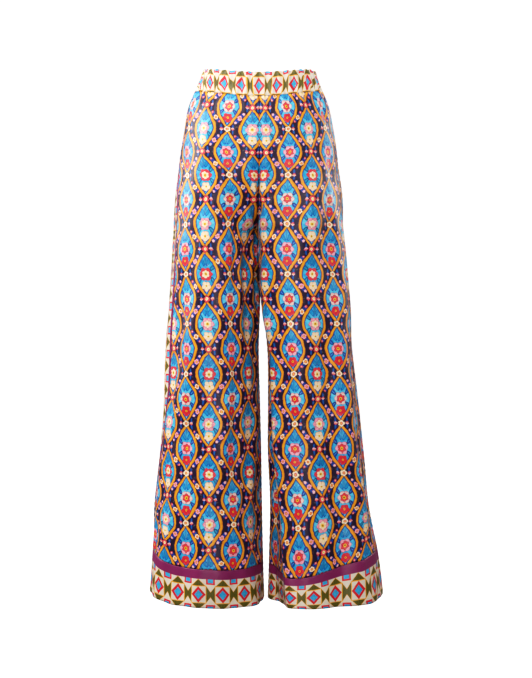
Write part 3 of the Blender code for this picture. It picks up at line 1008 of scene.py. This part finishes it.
def paint_lattice(tree):
    """The main print: pointed frames in half-drop columns on a dark ground, each with a
    rosette, a fan of leaves above it and a bloom below, and blossoms in the gaps."""
    u, v = flat_place(tree)
    tone, broad, brush = noise(tree, *TONE), noise(tree, *BROAD), noise(tree, *BRUSH)
    u = u - PRINT_SHIFT + (noise(tree, *STRAY_U) - 0.5) * STRAY + (tone - 0.5) * TREMBLE
    v = v + (noise(tree, *STRAY_V) - 0.5) * STRAY + (brush - 0.5) * TREMBLE
    x_a, y_a = u.repeat(2 * COLUMN_PITCH), v.repeat(FRAME_PITCH)
    x_b = (u + COLUMN_PITCH).repeat(2 * COLUMN_PITCH)
    y_b = (v + FRAME_PITCH / 2).repeat(FRAME_PITCH)
    edge_a, edge_b = ogee_distance(x_a, y_a), ogee_distance(x_b, y_b)
    own = edge_a.math("LESS_THAN", edge_b)
    edge = edge_a.least(edge_b)
    x, y = x_b + (x_a - x_b) * own, y_b + (y_a - y_b) * own
    ax, ay = abs(x), abs(y)
    row_a, row_b = parity(v + FRAME_PITCH / 2, FRAME_PITCH), parity(v, FRAME_PITCH)
    row = row_b + (row_a - row_b) * own
    gap = abs(parity(u, COLUMN_PITCH) - parity(v, FRAME_PITCH / 2))
    angle = y.math("ARCTAN2", x)
    reach = length_of(x, y)

    paint = Painting(tree, "aubergine").over("midnight", broad * 0.45)
    # blossoms, leaves and buds on the dark ground between the frames
    p, q = turned(ax - COLUMN_PITCH / 2, ay - FRAME_PITCH / 4, SPRIG_TURN)
    leaf_p, leaf_q = SPRIG_LEAF_PLACE
    paint.over("royal", leaf(abs(p) - leaf_p, abs(q) - leaf_q, *SPRIG_LEAF).below(0))
    bud = petal_ring(abs(p) - BUD_STEP, q, BUD, 5, 0.13)
    paint.blend("pink", "coral", gap, bud.below(0))
    paint.over("ivory", length_of(abs(p) - BUD_STEP, q).below(1.0))
    sprig = petal_ring(p, q, SPRIG, 5, 0.13)
    sprig_reach = length_of(p, q)
    paint.over("crimson", sprig.below(0.5)).blend("pink", "ivory", gap, sprig.below(0))
    paint.blend("rose", "coral", gap, sprig_reach.below(2.7)).over("yellow", sprig_reach.below(1.4))
    tip_y = ay - FRAME_PITCH / 2
    outer_x = ax - (COLUMN_PITCH - SIDE_BUD_PLACE)
    for bud_x, bud_y in ((ax - SIDE_BUD_PLACE, tip_y), (outer_x, y)):
        for ink, size in (("royal", SIDE_BUD_LEAF), ("teal", SIDE_BUD_VEIN)):
            paint.over(ink, leaf(bud_x, abs(bud_y) - SIDE_BUD_LEAF_PLACE, *size).below(0))
        side_bud = petal_ring(bud_x, bud_y, SIDE_BUD, 5, 0.14, 0.8)
        paint.blend("pink", "rose", gap, side_bud.below(0))
        paint.over("yellow", length_of(bud_x, bud_y).below(1.2))
    # the frame
    paint.over("rust", edge.below(0.5))
    streak = brush * 1.2 + (edge * 0.10)
    paint.blend("saffron", "amber", streak.math("ADD", -0.10, clamp=True), edge.below(0))
    paint.over("midnight", edge.below(-FRAME_BAND))
    paint.over("royal", edge.below(-FRAME_BAND - 0.9))
    # the field
    field = edge.below(-FRAME_BAND - 2.0, 1.0)
    wash = (angle * 6.0 + edge * 0.35).cos() * 0.30 + brush + (row - 0.5) * 0.5
    paint.blend("turquoise", "sky", wash.math("ADD", 0.10, clamp=True), field)
    # leaves
    side, rise, turn = BESIDE_LEAF_PLACE
    leaf_x, leaf_y = turned(ax - side, ay - rise, turn)
    leaf_edge = leaf(leaf_x, leaf_y, *BESIDE_LEAF)
    paint.over("midnight", leaf_edge.below(0.5) * field)
    paint.blend("royal", "teal", own, leaf_edge.below(-0.2) * field)
    paint.over("sky", leaf_y.near(0, 0.3) * leaf_edge.below(-0.8) * field)
    side, rise, turn = FAN_LEAF_PLACE
    side_leaf = leaf(*turned(ax - side, y - rise, turn), *FAN_LEAF)
    middle_leaf = leaf(x, y - MIDDLE_LEAF_RISE, *MIDDLE_LEAF)
    paint.over("royal", side_leaf.below(0.5) * field)
    paint.blend("teal", "turquoise", brush + row * 0.4, side_leaf.below(-0.3) * field)
    paint.over("royal", middle_leaf.below(0.5) * field)
    paint.blend("sky", "teal", brush + own * 0.3, middle_leaf.below(-0.3) * field)
    paint.over("royal", ax.below(0.35) * middle_leaf.below(-1.0) * field)
    side, rise = FOOT_LEAF_PLACE
    paint.over("royal", leaf(ax - side, y - rise, *FOOT_LEAF).below(0) * field)
    # bloom below the rosette
    bloom_y = y + BLOOM_PLACE
    bloom = petal_ring(x, bloom_y, BLOOM, 5, 0.11, 0.8)
    bloom_reach = length_of(x, bloom_y)
    paint.over("crimson", bloom.below(0.5))
    fading = (bloom_reach * 0.09 + (tone - 0.5) * 0.9).math("ADD", -0.10, clamp=True)
    blooms = Painting(tree, "red").over("ivory", own)
    blooms.over(Painting(tree, "coral").over("peach", own), fading * 0.7)
    paint.over(blooms, bloom.below(0))
    bloom_angle = bloom_y.math("ARCTAN2", x)
    folds_of_petals = abs((bloom_angle * 2.5 + 0.8).cos()).below(0.10, 0.10)
    paint.over("rose", folds_of_petals * bloom_reach.below(BLOOM - 2.4) * 0.8)
    paint.over("yellow", bloom_reach.below(2.2)).over("rust", bloom_reach.below(0.9))
    # rosette
    rosette = petal_ring(x, y, ROSETTE, PETALS, 0.10)
    petals = Painting(tree, "pink").over("shell", row * 0.8).over("rose", (tone - 0.42) * 1.1)
    reds = Painting(tree, "coral").over("pink", row).over("red", (tone - 0.30) * 0.9)
    petals.over(reds, own)
    paint.over("crimson", rosette.below(0.6))
    paint.over(petals, rosette.below(0))
    lobes = abs((angle * (PETALS / 2)).cos())
    veins = lobes.below(0.10, 0.10) * reach.below(ROSETTE - 2.6)
    paint.blend("rose", "crimson", own, veins)
    core = petal_ring(x, y, CORE, PETALS, 0.12, 1.57)
    paint.blend("coral", "ivory", own, core.below(0))
    paint.blend("crimson", "rose", own, core.near(-0.2, 0.4))
    paint.blend("red", "peach", own, (reach - 4.6).near(0, 0.5) * lobes)
    paint.over("yellow", reach.below(3.2)).over("rust", reach.below(1.3))
    # floret where two frames of a column meet
    knot = petal_ring(x, tip_y, KNOT, 5, 0.12, 0.3)
    knot_reach = length_of(x, tip_y)
    paint.over("aubergine", knot.below(0.8))
    paint.blend("ivory", "coral", own, knot.below(0))
    paint.blend("rose", "ivory", own, knot_reach.below(3.1)).over("yellow", knot_reach.below(1.6))
    # strokes of the brush
    paint.over("ivory", (brush * 1.6 - 1.0).math("ADD", 0.0, clamp=True) * 0.5)
    return paint


def paint_border(tree, along, across):
    """The border print: diamonds in squares, pinched bows between them, triangles above and
    below, and tabs that hang from both edges. along runs with the border, across is 0 at
    the hem edge and BORDER_TOP at the plum stripe, both in millimetres."""
    along = along + (noise(tree, *BORDER_STRAY_U) - 0.5) * BORDER_STRAY
    across = across + (noise(tree, *BORDER_STRAY_V) - 0.5) * BORDER_STRAY
    tone, brush = noise(tree, *TONE), noise(tree, *BRUSH)
    x = abs(along.repeat(BORDER_PITCH))
    rise = abs(across - BORDER_MIDDLE)
    paint = Painting(tree, "cream").over("shell", tone * 0.7)
    # bow: between the squares, pinched in the middle of the gap
    gap_x = BORDER_PITCH / 2 - x
    open_by = (SQUARE_RISE - PINCH) / (BORDER_PITCH / 2 - SQUARE_REACH)
    bow = (rise - (gap_x * open_by + PINCH)).most(SQUARE_REACH - x)
    paint.over("saffron", bow.below(0.9))
    streak = (along * 2.1 + brush * 9.0).sin() * 0.5 + 0.5
    paint.blend("olive", "moss", streak, bow.below(-0.3))
    # square
    square = (x - SQUARE_REACH).most(rise - SQUARE_RISE)
    paint.over("saffron", square.near(0, LINE))
    # triangles above and below the square
    slope = TRIANGLE_REACH / TRIANGLE_RISE
    up = rise - SQUARE_RISE - 1.0
    triangle = (x + up * slope - TRIANGLE_REACH) * 0.7
    triangle = triangle.most(up * -1.0)
    paint.over("saffron", triangle.below(0.9))
    paint.blend("olive", "moss", streak, triangle.below(0))
    # tabs at both edges of the border, open to the edge
    tab_x = gap_x - TAB_REACH
    tab = tab_x.most(BORDER_TOP - BORDER_MIDDLE - TAB_RISE - rise)
    paint.over("scarlet", tab.below(0))
    paint.blend("turquoise", "sky", tone * 0.7, tab.below(-TAB_BAND))
    # diamond
    diamond = x * (1 / DIAMOND_REACH) + rise * (1 / DIAMOND_RISE) - 1.0
    diamond = diamond * (DIAMOND_REACH * 0.74)
    paint.blend("scarlet", "red", tone * 1.2, diamond.below(0))
    inside = diamond.below(-DIAMOND_BAND * 0.74)
    paint.blend("turquoise", "sky", brush * 2.2 - 0.7, inside)
    paint.over("teal", (brush * 3.0 + tone - 1.9).math("ADD", 0.0, clamp=True) * inside)
    return paint


def add_bump(tree, height, strength, distance):
    """A bump from a height, ready to be linked to a normal."""
    node = tree.nodes.new("ShaderNodeBump")
    set_inputs(node, {"Strength": strength, "Distance": distance})
    plug(tree, height, node.inputs["Height"])
    return node


def finish_satin(material, paint, wrong_side):
    """Gives a painted material its satin: a soft sheen, a fine twill and slight crumples.
    The wrong side is duller and paler, as the ink doesn't go right through."""
    tree = material.node_tree
    shader = tree.nodes["Principled BSDF"]
    if wrong_side:
        paint.over("cream", WRONG_SIDE_FADING)
    tree.links.new(paint.socket, shader.inputs["Base Color"])
    set_inputs(shader, WRONG_SIDE_FINISH if wrong_side else SATIN_FINISH)
    u, v = flat_place(tree)
    twill = ((u + v) * (2 * np.pi / TWILL_PITCH)).sin()
    weave = add_bump(tree, twill * 0.35 + noise(tree, *SLUB), 0.10, 0.0004)
    soft = add_bump(tree, noise(tree, *CRUMPLE), 0.22, 0.004)
    tree.links.new(weave.outputs[0], soft.inputs["Normal"])
    tree.links.new(soft.outputs[0], shader.inputs["Normal"])


def new_material(name):
    """A material with the plain shader in it."""
    material = bpy.data.materials.new(name)
    material.use_nodes = True
    return material


def border_fields(tree, layout):
    """Where a border piece's flat place lies in the border print: its two fields."""
    u, v = flat_place(tree)
    if layout == "hem":
        return u, v
    if layout == "waist":
        return u, v + (BORDER_TOP - 1000 * BAND_HEIGHT - WAIST_PRINT_RISE)
    return v, u + BORDER_MIDDLE


def make_satin(name, kind, wrong_side=False):
    """One printed satin: the lattice, or the border as it lies on the waist, hem or stripe."""
    material = new_material(name)
    tree = material.node_tree
    if kind == "lattice":
        paint = paint_lattice(tree)
    else:
        along, across = border_fields(tree, kind)
        paint = paint_border(tree, along, across)
        half = BORDER_TOP - BORDER_MIDDLE
        beyond = abs(across - BORDER_MIDDLE) if kind == "stripe" else across - BORDER_MIDDLE
        if kind != "waist":
            paint.over("plum", beyond.math("MULTIPLY", -1.0).below(-half))
    finish_satin(material, paint, wrong_side)
    return material


def make_thread(ink):
    """Polyester thread: a plain colour, a soft sheen and its twist as a bump."""
    material = new_material(ink)
    tree = material.node_tree
    shader = tree.nodes["Principled BSDF"]
    set_inputs(shader, {"Base Color": linear(ink) + (1.0,), "Roughness": 0.45})
    place = tree.nodes.new("ShaderNodeTexCoord")
    grain = tree.nodes.new("ShaderNodeTexNoise")
    grain.inputs["Scale"].default_value = 4000
    tree.links.new(place.outputs["Object"], grain.inputs["Vector"])
    bump = add_bump(tree, Field(tree, grain.outputs[0]), 0.3, 0.0001)
    tree.links.new(bump.outputs[0], shader.inputs["Normal"])
    return material


# ---- Stitches


def along_path(path, values, pitch):
    """Reads values at even spaces along a path of points."""
    run = running(np.linalg.norm(np.diff(path, axis=0), axis=1))
    at = np.arange(pitch / 2, run[-1], pitch)
    return np.stack([np.interp(at, run, values[:, i]) for i in range(3)], axis=1)


def stitch_row(name, path, outward, thread):
    """A row of stitches: each a short rod with four sides, thick in its middle, whose two
    ends dip into the cloth. One mesh holds the whole row."""
    middle = along_path(path, path, STITCH_PITCH)
    ahead = unit(along_path(path, np.gradient(path, axis=0), STITCH_PITCH))
    up = along_path(path, outward, STITCH_PITCH)
    up = unit(up - ahead * (up * ahead).sum(axis=1, keepdims=True))
    across = np.cross(ahead, up)
    rings = []
    for along, rise, radius in STITCH_RINGS:
        centre = middle + ahead * along * STITCH_LENGTH + up * rise * THREAD_RADIUS
        for a, b in ((1, 0), (0, 1), (-1, 0), (0, -1)):
            rings.append(centre + (across * a + up * b) * radius * THREAD_RADIUS)
    points = np.stack(rings, axis=1)
    one = [(r * 4 + i, r * 4 + (i + 1) % 4, r * 4 + 4 + (i + 1) % 4, r * 4 + 4 + i)
           for r in range(3) for i in range(4)] + [(3, 2, 1, 0), (12, 13, 14, 15)]
    faces = (np.arange(len(middle))[:, None, None] * 16 + np.array(one)[None]).reshape(-1, 4)
    piece = add_mesh(name, points.reshape(-1, 3), faces[:, ::-1])
    piece.data.materials.append(thread)
    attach(piece, "root")
    return piece


def surface_normals(points, side):
    """Outward unit normals of a grid, from its differences."""
    across = np.gradient(points, axis=1)
    down = np.gradient(points, axis=0)
    return unit(side * np.cross(down, across))


# ---- Pieces


def panel_levels():
    """Levels of a panel's rows, from the waistband's foot to the top of the hem band."""
    return steps_between(BAND_FOOT, HEM_BAND_TOP, ROW_STEP)


def flat_width(levels, run):
    """Width of a panel's flat cloth at each row: as it hangs below the hips, and as wide as
    at the hips above them, where the gathers draw it in."""
    hips = np.interp(-HIP_LEVEL, -levels, run[:, -1])
    gathered = ramp((levels - HIP_LEVEL + HIP_BLEND) / (2 * HIP_BLEND))
    return ((1 - gathered) * run[:, -1] + gathered * hips)[:, None]


def with_allowances(points, flat, normals):
    """Adds the seam allowances to both ends of each row: the cloth turns over a small round
    edge and runs inwards, away from its seam line, by each depth of ALLOWANCE."""
    for end, beside in ((0, 1), (-1, -2)):
        edge, normal = points[:, end], normals[:, end]
        away = points[:, beside] - edge
        slope = (flat[:, end] - flat[:, beside]) / np.linalg.norm(away, axis=1, keepdims=True)
        away = unit(away)
        deeper = [edge - normal * depth + away * min(depth * 0.3, 0.0005) for depth in ALLOWANCE]
        beyond = [flat[:, end] + slope * depth for depth in ALLOWANCE]
        if end == 0:
            points = np.concatenate([np.stack(deeper[::-1], axis=1), points], axis=1)
            flat = np.concatenate([np.stack(beyond[::-1], axis=1), flat], axis=1)
        else:
            points = np.concatenate([points, np.stack(deeper, axis=1)], axis=1)
            flat = np.concatenate([flat, np.stack(beyond, axis=1)], axis=1)
    return points, flat


def make_leg_panel(side, face, first, last, cloth):
    """A front or back: the lattice print runs down its straight grain."""
    levels = panel_levels()
    counts = steps_between(first, last, PANEL_COUNT_STEP, dense=0.5)
    points, turn, run = lay_cloth(side, counts, levels, seams=(first, last))
    behind = face == "back"
    grain = grain_share(side, levels, turn, run, behind)
    u = (run / run[:, -1:] - grain) * flat_width(levels, run)
    v = np.broadcast_to(levels[:, None], u.shape)
    flat = np.stack([-u if behind else u, v], axis=-1)
    node = f"{face}_{word(side)}"
    points, flat = with_allowances(points, flat, surface_normals(points, side))
    piece = add_cloth(f"satin_{node}", node, points, flat, side < 0, CLOTH, cloth)


def make_side_stripe(side, cloth, thread):
    """A side stripe, with a row of edge stitches down each side."""
    levels = panel_levels()
    counts = steps_between(STRIPE_FRONT, STRIPE_BACK, STRIPE_COUNT_STEP)
    points, _, run = lay_cloth(side, counts, levels, seams=(STRIPE_FRONT, STRIPE_BACK))
    across = run / run[:, -1:] - 0.5
    v = np.broadcast_to(levels[:, None], run.shape)
    flat = np.stack([across * SIDE_STRIPE, v], axis=-1)
    normals = surface_normals(points, side)
    for end, word_of_end in ((0, "front"), (-1, "back")):
        inset = STRIPE_STITCH_INSET if end == 0 else run[:, -1] - STRIPE_STITCH_INSET
        inset = np.broadcast_to(inset, (len(levels),))
        path = np.stack([[np.interp(s, r, p[:, i]) for i in range(3)]
                         for s, r, p in zip(inset, run, points)])
        name = f"stitches_{word_of_end}_of_stripe_{word(side)}"
        stitch_row(name, path, normals[:, 1 if end == 0 else -2], thread)
    node = f"side_stripe_{word(side)}"
    points, flat = with_allowances(points, flat, normals)
    piece = add_cloth(f"satin_{node}", node, points, flat, side < 0, CLOTH, cloth)


def make_hem_bands(side, cloth, top_thread, foot_thread):
    """The band round one leg's hem in two pieces, rolled under at its foot, with a row of
    stitches along its top seam and another above the fold."""
    levels = steps_between(HEM_BAND_TOP, HEM_LEVEL, HEM_STEP)
    counts = steps_between(0, GATHERS, HEM_COUNT_STEP)
    counts = np.unique(np.concatenate([counts, [OUTSEAM]]))
    level = levels[:, None]
    roll = -HEM_ROLL * hump(level - HEM_LEVEL, HEM_ROLL_REACH)
    roll = roll - SEAM_DIP * hump(level - HEM_BAND_TOP, HEM_DIP_REACH)
    wave = HEM_WAVE * np.sin(counts[None, :] * 4.1 + side)
    wave = wave * ramp((HEM_LEVEL + HEM_WAVE_FADE - level) / HEM_WAVE_FADE)
    points, _, run = lay_cloth(side, counts, levels, (0, OUTSEAM, GATHERS), extra=roll + wave)
    v = np.broadcast_to(level - HEM_LEVEL, run.shape)
    flat = np.stack([run + HEM_PRINT_SHIFT[side], v], axis=-1)
    normals = surface_normals(points, side)
    half = int(np.searchsorted(counts, OUTSEAM))
    for face, part in (("front", slice(0, half + 1)), ("back", slice(half, None))):
        for place, stitch_level, thread in (
            ("top", HEM_SEAM_STITCH_LEVEL, top_thread),
            ("foot", HEM_STITCH_LEVEL, foot_thread),
        ):
            row = int(np.argmin(np.abs(levels - stitch_level)))
            name = f"stitches_{place}_of_hem_{face}_{word(side)}"
            stitch_row(name, points[row, part], normals[row, part], thread)
        name, node = f"satin_hem_{face}_{word(side)}", f"hem_band_{face}_{word(side)}"
        grid, cut = with_allowances(points[:, part], flat[:, part], normals[:, part])
        piece = add_cloth(name, node, grid, cut, side < 0, HEM_CLOTH, cloth)
        f"{face}_{word(side)}"


def make_waistband(face, first, last, cloth, thread):
    """Half of the waistband: a casing that swells between its top fold and its seam, drawn
    into gathers by the elastic, with a row of stitches along its foot."""
    levels = steps_between(BAND_TOP, BAND_FOOT, BAND_STEP)
    counts = steps_between(first, last, BAND_COUNT_STEP)
    share = ((levels - BAND_FOOT) / BAND_HEIGHT)[:, None]
    swell = BAND_SWELL * (1 - (2 * share - 1) ** 4) - BAND_SWELL
    ripple = BAND_RIPPLE * np.sin(counts[None, :] * 11.3) * np.sin(np.pi * share)
    grids = {}
    for side in (-1, 1):
        points, turn, run = lay_cloth(side, counts, levels, (), extra=swell + ripple, fine=0.0)
        trim = CENTRE_TRIM * hump(turn, CENTRE_TRIM_REACH)
        trim = trim + SIDE_TRIM * hump(turn - 0.5, SIDE_TRIM_REACH)
        points[..., 2] += trim * ramp(share)
        wave = np.sin(2 * np.pi * counts + 1.5 * np.sin(0.9 * counts + side))[None, :]
        ends = ramp(np.minimum(counts - first, last - counts) / 0.8)[None, :]
        points[..., 2] += BAND_RUFFLE * wave * ends * ramp(1.6 * share - 0.6)
        run = run + BAND_SLIP * wave * ends
        if face == "back":
            run = run[:, -1:] - run
        grids[side] = (points, run * FULLNESS * side)
    points, flat_u = (joined_halves(grids[-1][i], grids[1][i], face) for i in (0, 1))
    flat_u = -flat_u if face == "back" else flat_u
    middle = grids[1][0].shape[1] - 1
    points[:, middle, 0] = 0
    v = np.broadcast_to((levels - BAND_FOOT)[:, None], flat_u.shape)
    flat = np.stack([flat_u, v], axis=-1)
    row = int(np.argmin(np.abs(levels - BAND_STITCH_LEVEL)))
    normals = surface_normals(points, 1)
    stitches = stitch_row(f"stitches_of_waistband_{face}", points[row], normals[row], thread)
    node = f"waistband_{face}"
    points, flat = with_allowances(points, flat, normals)
    piece = add_cloth(f"satin_{node}", node, points, flat, False, BAND_CLOTH, cloth)


def joined_halves(right, left, face):
    """Two halves side by side in one grid: across the centre front, or across the centre
    back, where the two halves' prints meet."""
    if face == "front":
        return np.concatenate([right[:, :0:-1], left], axis=1)
    return np.concatenate([left, right[:, -2::-1]], axis=1)


def make_both_sides(name, kind):
    """The right side and the wrong side of a printed satin."""
    return make_satin(name, kind), make_satin(f"{name}_wrong_side", kind, wrong_side=True)


def make_trousers():
    """All the pieces of cloth with their stitches, each in its own print."""
    lattice = make_both_sides("printed_satin", "lattice")
    waist, hem, stripe = (
        make_both_sides(f"border_satin_{kind}", kind) for kind in ("waist", "hem", "stripe")
    )
    cream_thread, plum_thread = make_thread("cream_thread"), make_thread("plum_thread")
    for side in (-1, 1):
        make_leg_panel(side, "front", 0, STRIPE_FRONT, lattice)
        make_leg_panel(side, "back", STRIPE_BACK, GATHERS, lattice)
        make_side_stripe(side, stripe, plum_thread)
        make_hem_bands(side, hem, plum_thread, cream_thread)
    make_waistband("front", 0, OUTSEAM, waist, cream_thread)
    make_waistband("back", OUTSEAM, GATHERS, waist, cream_thread)


# ---- Studio


def make_stage():
    """A pale floor that curves up into a backdrop all round, as one turned surface."""
    angle = np.linspace(0, np.pi / 2, 13)[:, None]
    radius = FLOOR_RADIUS + FLOOR_BEND * np.sin(angle)
    height = FLOOR_BEND * (1 - np.cos(angle))
    radius = np.concatenate([[[0.0]], radius, [[FLOOR_RADIUS + FLOOR_BEND]]])
    height = np.concatenate([[[0.0]], height, [[BACKDROP_HEIGHT]]]) + FLOOR_LEVEL
    turns = np.linspace(0, 2 * np.pi, 65)
    x, y = radius * np.cos(turns), radius * np.sin(turns)
    grid = np.stack([x, y, height + 0 * turns], axis=-1)
    faces = grid_faces(len(radius), len(turns), True)
    floor = add_mesh("studio_floor", grid.reshape(-1, 3), faces)
    material = new_material("studio_white")
    set_inputs(material.node_tree.nodes["Principled BSDF"], FLOOR_FINISH)
    floor.data.materials.append(material)
    floor.visible_diffuse = False
    floor.visible_glossy = False
    floor.visible_shadow = False


def add_light(name, place, aim, size, power):
    """A square soft light that faces its aim."""
    data = bpy.data.lights.new(name, "AREA")
    data.shape = "SQUARE"
    data.size = size
    data.energy = power
    light = bpy.data.objects.new(name, data)
    bpy.context.scene.collection.objects.link(light)
    light.location = place
    direction = np.array(aim, float) - np.array(place, float)
    yaw = np.arctan2(direction[0], direction[1])
    fall = np.hypot(direction[0], direction[1])
    light.rotation_euler = (np.pi / 2 + np.arctan2(direction[2], fall), 0, -yaw)


def make_lights():
    """The soft lights round the garment, and a faint even light from the air."""
    for row in LIGHTS:
        add_light(*row)
    world = bpy.data.worlds.new("studio_air")
    world.use_nodes = True
    set_inputs(world.node_tree.nodes["Background"], {"Color": WHITE, "Strength": AIR_LIGHT})
    bpy.context.scene.world = world


def set_tones():
    """Plain display colours with a soft curve: deeper shade and fuller light."""
    view = bpy.context.scene.view_settings
    view.view_transform = "Standard"
    view.use_curve_mapping = True
    for dim, shown in SHOWN_TONES:
        view.curve_mapping.curves[3].points.new(dim, shown)
    view.curve_mapping.update()


def make_camera():
    """Level, in front, below the waist, with a small shift that centres the garment."""
    data = bpy.data.cameras.new("camera")
    data.sensor_width = SENSOR
    data.lens = SENSOR * CAMERA_DISTANCE / VIEW_HEIGHT
    data.shift_y = (VIEW_MIDDLE[1] - CAMERA_LEVEL) / VIEW_HEIGHT
    camera = bpy.data.objects.new("camera", data)
    bpy.context.scene.collection.objects.link(camera)
    camera.location = (VIEW_MIDDLE[0], -CAMERA_DISTANCE, CAMERA_LEVEL)
    camera.rotation_euler = (np.pi / 2, 0, 0)
    bpy.context.scene.camera = camera


make_camera()
make_lights()
set_tones()
make_stage()
make_trousers()
